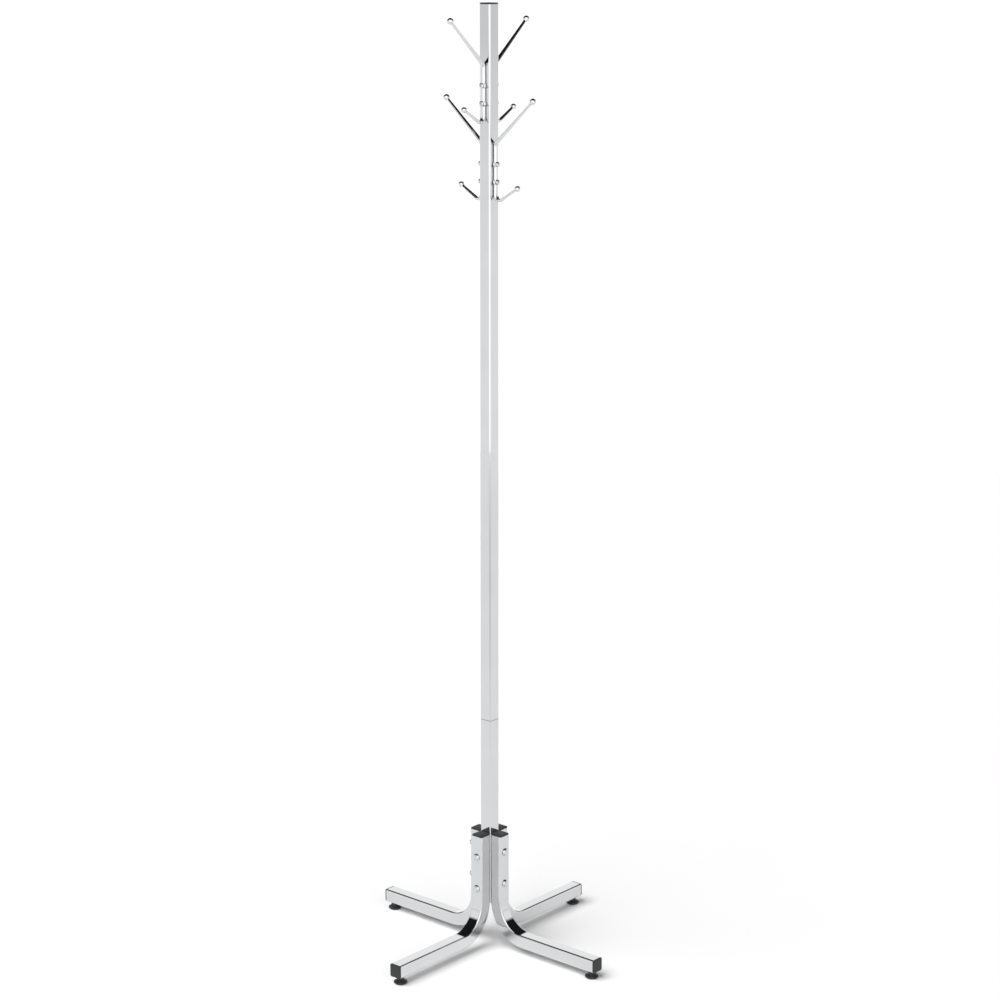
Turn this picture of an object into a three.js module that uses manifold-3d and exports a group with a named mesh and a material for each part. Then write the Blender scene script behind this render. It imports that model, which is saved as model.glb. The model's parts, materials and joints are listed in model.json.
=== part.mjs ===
// A standing coat rack: a square steel post on four bent tube legs, with a double ball-tipped hook on each
// face of the post, plastic end plugs, through bolts at the base and a screw-adjusted glide under each leg.
// Millimetres, +Z up. The origin is on the floor, on the post's axis. The front leg points along -Y.

import * as THREE from "three";
import { mergeVertices } from "three/addons/utils/BufferGeometryUtils.js";
import Module from "manifold-3d";

const wasm = await Module();
wasm.setup();

// ---------------------------------------------------------------- driving dimensions

const HEIGHT = 1778; // overall, 70 in
const BASE_SPREAD = 533.4; // plug to plug across opposite legs, 21 in
const TUBE = 25.4; // outside width of the square tube, 1 in
const WALL = 1.5;
const CORNER = 3; // outside corner radius of the tube
const FIT = 0.3; // gap left between pieces that touch
const FLANGE = 2.6; // thickness of a plug's head

const POST_BOTTOM = 86;
const POST_SEAM = 452; // where the lower and upper lengths of the post meet
const SEAM_GAP = 0.6;
const JOINER_LENGTH = 150;
const POST_PLUG_DEPTH = 12;

const LEG_TOP = 228.6; // top of the plug in a leg's upright end
const LEG_UNDERSIDE = 15; // floor to the underside of a leg
const LEG_BEND = 63.5; // centreline radius
const LEG_BEND_STEPS = 10;
const LEG_TOP_PLUG_DEPTH = 10;
const LEG_END_PLUG_DEPTH = 5;

const BOLT_PITCH = 63.5;
const SIDE_BOLT_LOW = 130; // lower bolt through the left and right legs
const FRONT_BOLT_LOW = 120.5; // lower bolt through the front and back legs, which crosses under the other
const BOLT_RADIUS = 3.1;
const BOLT_HEAD_RADIUS = 7.2;
const BOLT_HEAD_HEIGHT = 3.9;
const BOLT_HEAD_RIM = 0.8;
const BOLT_NECK = 6.2; // width of the square neck under the head
const BOLT_NECK_DEPTH = 2.8;
const BOLT_CLEARANCE = 0.4; // round the shank and neck, in the legs and post
const BOLT_END = 1.5; // how far the shank runs past the nut's hexagon, into its dome
const WASHER_THICKNESS = 1.2;
const WASHER_RADIUS = 7;
const NUT_CLEARANCE = 0.3; // round the shank, in the washer and nut
const NUT_FLATS = 11.1;
const NUT_HEX_HEIGHT = 5.2;
const NUT_DOME_RADIUS = 5;
const NUT_DOME_HEIGHT = 4.6;
const NUT_BORE_END = 2.5; // how far the nut's blind bore runs past its hexagon

const GLIDE_REACH = 252; // post axis to glide axis
const PAD_RADIUS = 12.6;
const PAD_SOLE_RADIUS = 10.2;
const PAD_EDGE = [2.8, 4.4]; // heights between which the pad is at its widest
const PAD_SHOULDER_RADIUS = 11.4;
const PAD_SHOULDER = 5.4; // height
const PAD_NECK_RADIUS = 7.4;
const PAD_NECK = 6; // height
const PAD_HEIGHT = 7.2;
const PAD_SOCKET_FLOOR = 2.6;
const PAD_SOCKET_CLEARANCE = 0.5;
const STUD_RADIUS = 3.9;
const STUD_TOP = 35.5;
const STUD_HEX_FLATS = 12;
const STUD_HEX_HEIGHT = 4;
const THREAD_CLEARANCE = 0.16;
const INSERT_RADIUS = 6.2;
const INSERT_PILOT_RADIUS = 5.3; // of the part that passes through the leg's wall
const INSERT_HOLE_RADIUS = 5.7;
const INSERT_TOP = 23;

const HOOK_SCREW_PITCH = 31.75; // 1 1/4 in
const HIGH_HOOKS = 1617.4; // height midway between the screws of the front and back hooks
const LOW_HOOKS = HIGH_HOOKS - 139; // and of the left and right hooks
const HOOK_BAR_WIDTH = 10;
const HOOK_BAR_THICKNESS = 6.4;
const HOOK_STANDOFF = 0.3; // from the back of the bosses to the back of the bar
const HOOK_BOSS_RADIUS = 6.5;
const HOOK_BOSS_THICKNESS = 7.2;
const HOOK_TIP_THICKNESS = 4.2;
const HOOK_SIDES = 8; // of a hook's oval section
const HOOK_BEND_STEP = 0.35; // radians
const HOOK_LAP = 0.5; // how far an arm's straight stretch runs into its bend
// An arm's ball centre is at reach from the post's axis and rise above the middle of the screws. side is 1
// for the arm that leaves the bar's top and -1 for the one that leaves its bottom.
const UPPER_ARM = { side: 1, reach: 102, rise: 129.9, slope: 42, bend: 14, ball: 6 };
const LOWER_ARM = { side: -1, reach: 66.8, rise: -24.5, slope: 31, bend: 9, ball: 5.4 };
const SCREW_HEAD_RADIUS = 4.8;
const SCREW_HEAD_HEIGHT = 2.8;
const SCREW_HEAD_RIM = 0.5;
const SCREW_RADIUS = 2.2;
const SCREW_CLEARANCE = 0.5; // in a hook's boss
const SCREW_BITE = 0.25; // the same in the post's wall, where the screw cuts its thread
const SCREW_TIP = 5.5; // post axis to a hook screw's tip

const HALF = TUBE / 2;
const INNER_WIDTH = TUBE - 2 * (WALL + FIT); // of a piece that slides inside the tube
const INNER_CORNER = 2;
const LEG_INNER = HALF + FIT; // post axis to the near face of a leg's upright
const LEG_OUTER = LEG_INNER + TUBE;
const LEG_AXIS = LEG_INNER + HALF;
const LEG_LEVEL = LEG_UNDERSIDE + HALF; // height of the centreline of a leg's foot
const LEG_END = BASE_SPREAD / 2 - FLANGE - FIT;
// Post axis to the middle of a hook's bar.
const HOOK_AXIS = LEG_INNER + HOOK_STANDOFF + HOOK_BAR_THICKNESS / 2;

const OVERLAP = 0.2; // between pieces that are joined into one
const OVERCUT = 1; // how far a cutter runs past the faces that it opens
const ROUND_SIDES = 16;
const SMALL_SIDES = 12;

// ---------------------------------------------------------------- materials

const chrome = new THREE.MeshStandardMaterial({ color: 0xc9cdd1, roughness: 0.05, metalness: 1 });
const castChrome = new THREE.MeshStandardMaterial({ color: 0xcfd2d4, roughness: 0.08, metalness: 1 });
const blackPlastic = new THREE.MeshStandardMaterial({ color: 0x1d1f20, roughness: 0.55, metalness: 0 });
const blackSteel = new THREE.MeshStandardMaterial({ color: 0x26282a, roughness: 0.42, metalness: 1 });
const zinc = new THREE.MeshStandardMaterial({ color: 0xa9adb0, roughness: 0.35, metalness: 1 });

// ---------------------------------------------------------------- solids

// A closed geometry as a solid that can be joined and cut.
function solidOf(geometry) {
  const bare = geometry.clone();
  bare.deleteAttribute("normal");
  bare.deleteAttribute("uv");
  const merged = mergeVertices(bare, 1e-4);
  return new wasm.Manifold(
    new wasm.Mesh({
      numProp: 3,
      vertProperties: merged.attributes.position.array,
      triVerts: new Uint32Array(merged.index.array),
    }),
  );
}

function geometryOf(solid) {
  const mesh = solid.getMesh();
  const geometry = new THREE.BufferGeometry();
  geometry.setAttribute("position", new THREE.BufferAttribute(new Float32Array(mesh.vertProperties), 3));
  geometry.setIndex(new THREE.BufferAttribute(new Uint32Array(mesh.triVerts), 1));
  geometry.computeVertexNormals();
  return geometry;
}

function joined(...geometries) {
  return geometries.map(solidOf).reduce((all, next) => all.add(next));
}

function without(solid, ...geometries) {
  return geometries.map(solidOf).reduce((rest, cut) => rest.subtract(cut), solid);
}

// A round or many-sided bar along +X, from x = from to x = to.
function barAlongX(radius, from, to, sides = SMALL_SIDES) {
  const bar = new THREE.CylinderGeometry(radius, radius, to - from, sides);
  return bar.rotateZ(-Math.PI / 2).translate((from + to) / 2, 0, 0);
}

// The same along +Z.
function barAlongZ(radius, from, to, sides = SMALL_SIDES) {
  const bar = new THREE.CylinderGeometry(radius, radius, to - from, sides);
  return bar.rotateX(Math.PI / 2).translate(0, 0, (from + to) / 2);
}

// A profile of [radius, height] points turned about the Z axis.
function turned(profile, sides = ROUND_SIDES) {
  const points = profile.map(([radius, height]) => new THREE.Vector2(radius, height));
  return new THREE.LatheGeometry(points, sides).rotateX(Math.PI / 2);
}

// Points of a quarter-round dome that starts at its rim and ends on the axis.
function domeProfile(radius, height, base, steps) {
  return Array.from({ length: steps + 1 }, (_, i) => {
    const angle = ((i / steps) * Math.PI) / 2;
    return [i === steps ? 0 : radius * Math.cos(angle), base + height * Math.sin(angle)];
  });
}

// The radius of a hexagonal bar's corners.
function hexRadius(flats) {
  return flats / 2 / Math.cos(Math.PI / 6);
}

// The outline of a square with rounded corners, centred on the origin.
function roundedSquare(shape, width, radius) {
  const reach = width / 2 - radius;
  const corners = [[1, -1], [1, 1], [-1, 1], [-1, -1]];
  corners.forEach(([x, y], i) => {
    const start = (i - 1) * (Math.PI / 2);
    shape.absarc(x * reach, y * reach, radius, start, start + Math.PI / 2, false);
  });
  shape.closePath();
  return shape;
}

function tubeSection(width, corner, wall) {
  const section = roundedSquare(new THREE.Shape(), width, corner);
  section.holes.push(roundedSquare(new THREE.Path(), width - 2 * wall, corner - wall));
  return section;
}

// A length of square tube standing between two heights.
function uprightTube(width, corner, wall, from, to) {
  const options = { depth: to - from, bevelEnabled: false, curveSegments: 1 };
  return new THREE.ExtrudeGeometry(tubeSection(width, corner, wall), options).translate(0, 0, from);
}

// A path in the XZ plane through stations, each a place and a heading above +X. The straight run between two
// stations takes a single step.
class BentPath extends THREE.Curve {
  constructor(stations) {
    super();
    this.stations = stations;
    this.steps = stations.length - 1;
  }
  stationAt(u) {
    return this.stations[Math.round(u * this.steps)];
  }
  getPointAt(u) {
    const { x, z } = this.stationAt(u);
    return new THREE.Vector3(x, 0, z);
  }
  getTangentAt(u) {
    const { heading } = this.stationAt(u);
    return new THREE.Vector3(Math.cos(heading), 0, Math.sin(heading));
  }
}

// Stations round a bend, between two headings.
function bendStations(centre, radius, from, to, steps) {
  const reach = radius * Math.sign(to - from);
  return Array.from({ length: steps + 1 }, (_, i) => {
    const heading = from + ((to - from) * i) / steps;
    return { x: centre[0] + reach * Math.sin(heading), z: centre[1] - reach * Math.cos(heading), heading };
  });
}

function swept(section, path, curveSegments) {
  const options = { steps: path.steps, extrudePath: path, bevelEnabled: false, curveSegments };
  return new THREE.ExtrudeGeometry(section, options);
}

// ---------------------------------------------------------------- post

// Bars across the post, at two heights along X and at two along Y, to cut holes with.
function crossBars(radius, heightsAlongX, heightsAlongY) {
  const alongX = heightsAlongX.map((height) => barAlongX(radius, -TUBE, TUBE).translate(0, 0, height));
  const alongY = heightsAlongY.map((height) =>
    barAlongX(radius, -TUBE, TUBE)
      .rotateZ(Math.PI / 2)
      .translate(0, 0, height),
  );
  return [...alongX, ...alongY];
}

function boltHeights(low) {
  return [low, low + BOLT_PITCH];
}

function screwHeights(middle) {
  return [middle - HOOK_SCREW_PITCH / 2, middle + HOOK_SCREW_PITCH / 2];
}

function lowerPost() {
  const tube = solidOf(uprightTube(TUBE, CORNER, WALL, POST_BOTTOM, POST_SEAM - SEAM_GAP / 2));
  const sideBolts = boltHeights(SIDE_BOLT_LOW);
  const frontBolts = boltHeights(FRONT_BOLT_LOW);
  return geometryOf(without(tube, ...crossBars(BOLT_RADIUS + BOLT_CLEARANCE, sideBolts, frontBolts)));
}

function upperPost() {
  const tube = solidOf(uprightTube(TUBE, CORNER, WALL, POST_SEAM + SEAM_GAP / 2, HEIGHT - FLANGE - FIT));
  const lowScrews = screwHeights(LOW_HOOKS);
  const highScrews = screwHeights(HIGH_HOOKS);
  return geometryOf(without(tube, ...crossBars(SCREW_RADIUS + SCREW_BITE, lowScrews, highScrews)));
}

// The square sleeve inside the post that bridges its seam.
function postJoiner() {
  const half = JOINER_LENGTH / 2;
  return uprightTube(INNER_WIDTH, INNER_CORNER, WALL, POST_SEAM - half, POST_SEAM + half);
}

// A plug for the end of a tube: a flat head, and a hollow skirt that grips inside the tube. The head's
// underside is at z = 0.
function endPlug(depth) {
  const head = new THREE.ExtrudeGeometry(roundedSquare(new THREE.Shape(), TUBE, CORNER), {
    depth: FLANGE,
    bevelEnabled: false,
    curveSegments: 1,
  });
  const skirt = uprightTube(INNER_WIDTH, INNER_CORNER, WALL, -depth, FLANGE / 2);
  return geometryOf(joined(head, skirt));
}

// ---------------------------------------------------------------- legs

// A leg's centreline: down beside the post, round the bend and out along the floor.
function legPath() {
  const bendCentre = [LEG_AXIS + LEG_BEND, LEG_LEVEL + LEG_BEND];
  return new BentPath([
    { x: LEG_AXIS, z: LEG_TOP - FLANGE - FIT, heading: -Math.PI / 2 },
    ...bendStations(bendCentre, LEG_BEND, -Math.PI / 2, 0, LEG_BEND_STEPS),
    { x: LEG_END, z: LEG_LEVEL, heading: 0 },
  ]);
}

// A leg pointing along +X. holdsHead says which end of the bolts it takes: a square neck or a round shank.
function leg(boltLow, holdsHead) {
  const tube = solidOf(swept(tubeSection(TUBE, CORNER, WALL), legPath(), 1));
  const neckWidth = BOLT_NECK + 2 * BOLT_CLEARANCE;
  const cuts = boltHeights(boltLow).flatMap((height) => {
    const shankHole = barAlongX(BOLT_RADIUS + BOLT_CLEARANCE, LEG_INNER - OVERCUT, LEG_OUTER + OVERCUT);
    const neckHole = new THREE.BoxGeometry(2 * WALL, neckWidth, neckWidth).translate(LEG_OUTER, 0, 0);
    const holes = holdsHead ? [shankHole, neckHole] : [shankHole];
    return holes.map((hole) => hole.translate(0, 0, height));
  });
  const glideHole = barAlongZ(INSERT_HOLE_RADIUS, LEG_UNDERSIDE - OVERCUT, LEG_LEVEL, ROUND_SIDES);
  return geometryOf(without(tube, ...cuts, glideHole.translate(GLIDE_REACH, 0, 0)));
}

// ---------------------------------------------------------------- base fasteners

// A dome-headed bolt that runs through two opposite legs and the post. Its head faces +X.
function legBolt() {
  const seat = LEG_OUTER + FIT;
  const tip = -(LEG_OUTER + WASHER_THICKNESS + NUT_HEX_HEIGHT + BOLT_END);
  const dome = domeProfile(BOLT_HEAD_RADIUS, BOLT_HEAD_HEIGHT - BOLT_HEAD_RIM, BOLT_HEAD_RIM, 4);
  const head = turned([[0, 0], [BOLT_HEAD_RADIUS, 0], ...dome]).rotateY(Math.PI / 2).translate(seat, 0, 0);
  const neckLength = BOLT_NECK_DEPTH + OVERLAP;
  const neck = new THREE.BoxGeometry(neckLength, BOLT_NECK, BOLT_NECK);
  neck.translate(seat + OVERLAP - neckLength / 2, 0, 0);
  return geometryOf(joined(head, neck, barAlongX(BOLT_RADIUS, tip, seat + OVERLAP)));
}

// A washer and the cap nut outside it, both on the X axis and facing -X.
function legWasher() {
  const near = -(LEG_OUTER + FIT);
  const inner = BOLT_RADIUS + NUT_CLEARANCE;
  const ring = [[inner, 0], [WASHER_RADIUS, 0], [WASHER_RADIUS, WASHER_THICKNESS], [inner, WASHER_THICKNESS]];
  return turned([...ring, ring[0]]).rotateY(-Math.PI / 2).translate(near, 0, 0);
}

function capNut() {
  const seat = -(LEG_OUTER + WASHER_THICKNESS + 2 * FIT);
  const hex = barAlongX(hexRadius(NUT_FLATS), -NUT_HEX_HEIGHT, 0, 6);
  const domeRows = domeProfile(NUT_DOME_RADIUS, NUT_DOME_HEIGHT, NUT_HEX_HEIGHT, 4);
  const dome = turned([[0, 0], [NUT_DOME_RADIUS, 0], ...domeRows]).rotateY(-Math.PI / 2);
  const bore = barAlongX(BOLT_RADIUS + NUT_CLEARANCE, -NUT_HEX_HEIGHT - NUT_BORE_END, OVERCUT);
  return geometryOf(without(joined(hex, dome), bore)).translate(seat, 0, 0);
}

// ---------------------------------------------------------------- glides

// The foot of a glide. It doesn't turn: the stud's foot turns in its socket.
function glidePad() {
  const socket = STUD_RADIUS + PAD_SOCKET_CLEARANCE;
  return turned([
    [0, 0],
    [PAD_SOLE_RADIUS, 0],
    [PAD_RADIUS, PAD_EDGE[0]],
    [PAD_RADIUS, PAD_EDGE[1]],
    [PAD_SHOULDER_RADIUS, PAD_SHOULDER],
    [PAD_NECK_RADIUS, PAD_NECK],
    [PAD_NECK_RADIUS, PAD_HEIGHT],
    [socket, PAD_HEIGHT],
    [socket, PAD_SOCKET_FLOOR],
    [0, PAD_SOCKET_FLOOR],
  ]);
}

// The threaded stud, with a foot in the pad's socket and a hexagon to turn it by.
function glideStud() {
  const hexBase = PAD_HEIGHT + FIT;
  const shank = barAlongZ(STUD_RADIUS, PAD_SOCKET_FLOOR + FIT, STUD_TOP, ROUND_SIDES);
  const hex = barAlongZ(hexRadius(STUD_HEX_FLATS), hexBase, hexBase + STUD_HEX_HEIGHT, 6);
  return geometryOf(joined(shank, hex));
}

// The threaded insert fixed in the underside of a leg, which the stud screws through.
function glideInsert() {
  const bore = STUD_RADIUS + THREAD_CLEARANCE;
  const shoulder = LEG_UNDERSIDE + WALL + FIT;
  const outline = [
    [bore, LEG_UNDERSIDE],
    [INSERT_PILOT_RADIUS, LEG_UNDERSIDE],
    [INSERT_PILOT_RADIUS, shoulder],
    [INSERT_RADIUS, shoulder],
    [INSERT_RADIUS, INSERT_TOP],
    [bore, INSERT_TOP],
  ];
  return turned([...outline, outline[0]]);
}

// ---------------------------------------------------------------- hooks

// Where an arm leaves the upright bar, from the point midway between the screws.
function armBend(arm) {
  const slope = THREE.MathUtils.degToRad(arm.slope);
  const turn = Math.PI / 2 - arm.side * slope;
  const meeting = arm.rise - (arm.reach - HOOK_AXIS) * Math.tan(slope);
  const centre = [HOOK_AXIS + arm.bend, meeting - arm.side * arm.bend * Math.tan(turn / 2)];
  return { slope, centre, steps: Math.ceil(turn / HOOK_BEND_STEP) };
}

// The upright bar with the bend at each end of it, from the lower arm to the upper one.
function hookBar(lowerBend, upperBend) {
  const up = Math.PI / 2;
  const path = new BentPath([
    ...bendStations(lowerBend.centre, LOWER_ARM.bend, Math.PI + lowerBend.slope, up, lowerBend.steps),
    ...bendStations(upperBend.centre, UPPER_ARM.bend, up, upperBend.slope, upperBend.steps),
  ]);
  const section = new THREE.Shape();
  section.absellipse(0, 0, HOOK_BAR_WIDTH / 2, HOOK_BAR_THICKNESS / 2, 0, 2 * Math.PI);
  return swept(section, path, HOOK_SIDES / 2);
}

// The straight, tapered stretch of an arm and the ball at its tip.
function hookArm(arm, bend) {
  const start = new THREE.Vector2(
    bend.centre[0] - arm.bend * Math.sin(bend.slope) * arm.side,
    bend.centre[1] + arm.bend * Math.cos(bend.slope) * arm.side,
  );
  const tip = new THREE.Vector2(arm.reach, arm.rise);
  const length = start.distanceTo(tip) + HOOK_LAP;
  const shaft = new THREE.CylinderGeometry(HOOK_TIP_THICKNESS / 2, HOOK_BAR_THICKNESS / 2, length, HOOK_SIDES)
    .translate(0, -length / 2, 0)
    .rotateX(Math.PI / 2)
    .scale(1, HOOK_BAR_WIDTH / HOOK_BAR_THICKNESS, 1)
    .rotateY(Math.PI / 2 - bend.slope)
    .translate(tip.x, 0, tip.y);
  const ball = new THREE.SphereGeometry(arm.ball, HOOK_SIDES, 6).rotateX(Math.PI / 2);
  return [shaft, ball.translate(tip.x, 0, tip.y)];
}

// One double hook: an upright bar with two screw bosses, a long arm above and a short one below.
function doubleHook() {
  const upperBend = armBend(UPPER_ARM);
  const lowerBend = armBend(LOWER_ARM);
  const arms = [...hookArm(UPPER_ARM, upperBend), ...hookArm(LOWER_ARM, lowerBend)];
  const bosses = screwHeights(0).map((height) =>
    barAlongX(HOOK_BOSS_RADIUS, LEG_INNER, LEG_INNER + HOOK_BOSS_THICKNESS).translate(0, 0, height),
  );
  const drilled = [LEG_INNER - OVERCUT, LEG_INNER + HOOK_BOSS_THICKNESS + OVERCUT];
  const holes = screwHeights(0).map((height) =>
    barAlongX(SCREW_RADIUS + SCREW_CLEARANCE, ...drilled).translate(0, 0, height),
  );
  return geometryOf(without(joined(hookBar(lowerBend, upperBend), ...arms, ...bosses), ...holes));
}

// A round-headed screw that holds a hook to the post, along X with its head outwards.
function hookScrew() {
  const seat = LEG_INNER + HOOK_BOSS_THICKNESS + FIT;
  const dome = domeProfile(SCREW_HEAD_RADIUS, SCREW_HEAD_HEIGHT - SCREW_HEAD_RIM, SCREW_HEAD_RIM, 3);
  const head = turned([[0, 0], [SCREW_HEAD_RADIUS, 0], ...dome], SMALL_SIDES).rotateY(Math.PI / 2);
  const shank = barAlongX(SCREW_RADIUS, SCREW_TIP, seat + OVERLAP, HOOK_SIDES);
  return geometryOf(joined(head.translate(seat, 0, 0), shank));
}

// ---------------------------------------------------------------- assembly

const rack = new THREE.Group();

function add(parent, name, geometry, material, x = 0, z = 0) {
  const mesh = new THREE.Mesh(geometry, material);
  mesh.name = name;
  mesh.position.set(x, 0, z);
  parent.add(mesh);
  return mesh;
}

add(rack, "lower_post", lowerPost(), chrome);
add(rack, "upper_post", upperPost(), chrome);
add(rack, "post_joiner", postJoiner(), zinc);
add(rack, "post_top_plug", endPlug(POST_PLUG_DEPTH), blackPlastic, 0, HEIGHT - FLANGE);

// Each side's pieces are made pointing along +X, and the side's group turns them to face their way.
const SIDES = [
  { name: "right", quarterTurns: 0, boltLow: SIDE_BOLT_LOW, hookHeight: LOW_HOOKS, holdsHead: true },
  { name: "back", quarterTurns: 1, boltLow: FRONT_BOLT_LOW, hookHeight: HIGH_HOOKS, holdsHead: false },
  { name: "left", quarterTurns: 2, boltLow: SIDE_BOLT_LOW, hookHeight: LOW_HOOKS, holdsHead: false },
  { name: "front", quarterTurns: 3, boltLow: FRONT_BOLT_LOW, hookHeight: HIGH_HOOKS, holdsHead: true },
];

for (const { name, quarterTurns, boltLow, hookHeight, holdsHead } of SIDES) {
  const side = new THREE.Group();
  side.rotation.z = (quarterTurns * Math.PI) / 2;
  rack.add(side);

  add(side, `${name}_leg`, leg(boltLow, holdsHead), chrome);
  add(side, `${name}_leg_top_plug`, endPlug(LEG_TOP_PLUG_DEPTH), blackPlastic, LEG_AXIS, LEG_TOP - FLANGE);
  const end = add(side, `${name}_leg_end_plug`, endPlug(LEG_END_PLUG_DEPTH), blackPlastic);
  end.position.set(BASE_SPREAD / 2 - FLANGE, 0, LEG_LEVEL);
  end.rotation.y = Math.PI / 2;

  add(side, `${name}_glide_pad`, glidePad(), blackPlastic, GLIDE_REACH);
  add(side, `${name}_glide_stud`, glideStud(), blackSteel, GLIDE_REACH);
  add(side, `${name}_glide_insert`, glideInsert(), zinc, GLIDE_REACH);

  add(side, `${name}_hook`, doubleHook(), castChrome, 0, hookHeight);
  const screws = screwHeights(hookHeight);
  add(side, `${name}_hook_lower_screw`, hookScrew(), chrome, 0, screws[0]);
  add(side, `${name}_hook_upper_screw`, hookScrew(), chrome, 0, screws[1]);

  if (holdsHead) {
    const bolts = boltHeights(boltLow);
    for (const [row, height] of [["lower", bolts[0]], ["upper", bolts[1]]]) {
      add(side, `${name}_leg_${row}_bolt`, legBolt(), chrome, 0, height);
      add(side, `${name}_leg_${row}_washer`, legWasher(), chrome, 0, height);
      add(side, `${name}_leg_${row}_cap_nut`, capNut(), chrome, 0, height);
    }
  }
}

export default rack;
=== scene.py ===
"""The looks of a standing coat rack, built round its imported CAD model.

Metres, +Z up, with the origin on the floor under the post. The front leg points along -Y and the right leg
along +X. Lengths of the pieces' own shapes are in millimetres, times MM.
"""

import json
import math
from collections import namedtuple

import bmesh
import bpy
from mathutils import Matrix, Vector


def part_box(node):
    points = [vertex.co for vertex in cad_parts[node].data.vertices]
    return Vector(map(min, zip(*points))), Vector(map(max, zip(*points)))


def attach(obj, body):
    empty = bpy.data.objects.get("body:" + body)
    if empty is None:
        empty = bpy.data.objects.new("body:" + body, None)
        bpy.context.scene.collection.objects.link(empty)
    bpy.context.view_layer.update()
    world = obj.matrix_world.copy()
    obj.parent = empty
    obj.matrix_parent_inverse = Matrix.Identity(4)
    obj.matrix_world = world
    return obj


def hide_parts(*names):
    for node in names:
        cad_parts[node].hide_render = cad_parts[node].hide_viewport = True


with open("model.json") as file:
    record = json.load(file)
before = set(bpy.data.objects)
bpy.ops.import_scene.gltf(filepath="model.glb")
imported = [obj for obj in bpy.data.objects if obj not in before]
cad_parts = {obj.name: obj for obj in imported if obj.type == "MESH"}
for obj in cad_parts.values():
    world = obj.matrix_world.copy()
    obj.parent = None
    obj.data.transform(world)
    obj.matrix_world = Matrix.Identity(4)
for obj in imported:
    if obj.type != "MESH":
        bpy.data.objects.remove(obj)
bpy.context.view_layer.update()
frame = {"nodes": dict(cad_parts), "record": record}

MM = 0.001
BODY_OF = {node: body for body, nodes in frame["record"]["behaviour"]["bodies"].items() for node in nodes}
SIDES = ("right", "back", "left", "front")  # in quarter turns from +X
BOLTED_FROM = ("right", "front")  # the sides that the bolts' heads are on
ROWS = ("lower", "upper")

# ---------------------------------------------------------------- camera

VIEW_AZIMUTH = math.radians(41.17)  # of the camera's place, from -Y towards +X
VIEW_HEADING = math.radians(40.91)
VIEW_TILT = math.radians(13.0)  # downwards
CAMERA_REACH = 4.306
CAMERA_HEIGHT = 1.870
LENS_MM = 85.95
SENSOR_MM = 36.0


def make_camera():
    data = bpy.data.cameras.new("camera")
    data.lens = LENS_MM
    data.sensor_width = SENSOR_MM
    camera = bpy.data.objects.new("camera", data)
    bpy.context.collection.objects.link(camera)
    level = math.cos(VIEW_TILT)
    forward = Vector((-math.sin(VIEW_HEADING) * level, math.cos(VIEW_HEADING) * level, -math.sin(VIEW_TILT)))
    x = math.sin(VIEW_AZIMUTH) * CAMERA_REACH
    y = -math.cos(VIEW_AZIMUTH) * CAMERA_REACH
    camera.location = (x, y, CAMERA_HEIGHT)
    camera.rotation_euler = forward.to_track_quat("-Z", "Y").to_euler()
    bpy.context.scene.camera = camera


# ---------------------------------------------------------------- materials


class Nodes:
    """A node tree under construction."""

    def __init__(self, tree):
        self.tree = tree

    def add(self, kind, **settings):
        """A new node. Settings name its properties, or its inputs by index as in_0."""
        node = self.tree.nodes.new(kind)
        for name, value in settings.items():
            if name.startswith("in_"):
                node.inputs[int(name[3:])].default_value = value
            else:
                setattr(node, name, value)
        return node

    def join(self, source, target):
        self.tree.links.new(source, target)

    def noise(self, point, scale, detail=2.0, roughness=0.5):
        node = self.add("ShaderNodeTexNoise")
        node.inputs["Scale"].default_value = scale
        node.inputs["Detail"].default_value = detail
        node.inputs["Roughness"].default_value = roughness
        self.join(point, node.inputs["Vector"])
        return node.outputs["Fac"]

    def spread(self, value, low, high, to_low, to_high):
        """Maps a value from one range to another, and holds it there."""
        node = self.add("ShaderNodeMapRange", in_1=low, in_2=high, in_3=to_low, in_4=to_high)
        self.join(value, node.inputs[0])
        return node.outputs[0]

    def math(self, operation, a, b):
        node = self.add("ShaderNodeMath", operation=operation)
        for slot, value in enumerate((a, b)):
            if isinstance(value, (int, float)):
                node.inputs[slot].default_value = value
            else:
                self.join(value, node.inputs[slot])
        return node.outputs[0]

    def ramp(self, value, stops):
        """A colour ramp over (position, colour) stops."""
        node = self.add("ShaderNodeValToRGB")
        elements = node.color_ramp.elements
        while len(elements) < len(stops):
            elements.new(0.5)
        for element, (position, colour) in zip(elements, stops):
            element.position = position
            element.color = (*colour, 1.0)
        self.join(value, node.inputs["Fac"])
        return node.outputs["Color"]

    def stretched(self, scale):
        """Object coordinates, scaled along each axis."""
        coordinates = self.add("ShaderNodeTexCoord")
        mapping = self.add("ShaderNodeMapping")
        mapping.inputs["Scale"].default_value = scale
        self.join(coordinates.outputs["Object"], mapping.inputs["Vector"])
        return mapping.outputs["Vector"]

    def bump(self, height, distance, strength=1.0, under=None):
        node = self.add("ShaderNodeBump")
        node.inputs["Distance"].default_value = distance
        node.inputs["Strength"].default_value = strength
        self.join(height, node.inputs["Height"])
        if under is not None:
            self.join(under, node.inputs["Normal"])
        return node.outputs["Normal"]


def new_material(name):
    """A material with an empty principled shader, and its node tree."""
    material = bpy.data.materials.new(name)
    material.use_nodes = True
    nodes = Nodes(material.node_tree)
    shader = material.node_tree.nodes["Principled BSDF"]
    return material, nodes, shader


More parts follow.
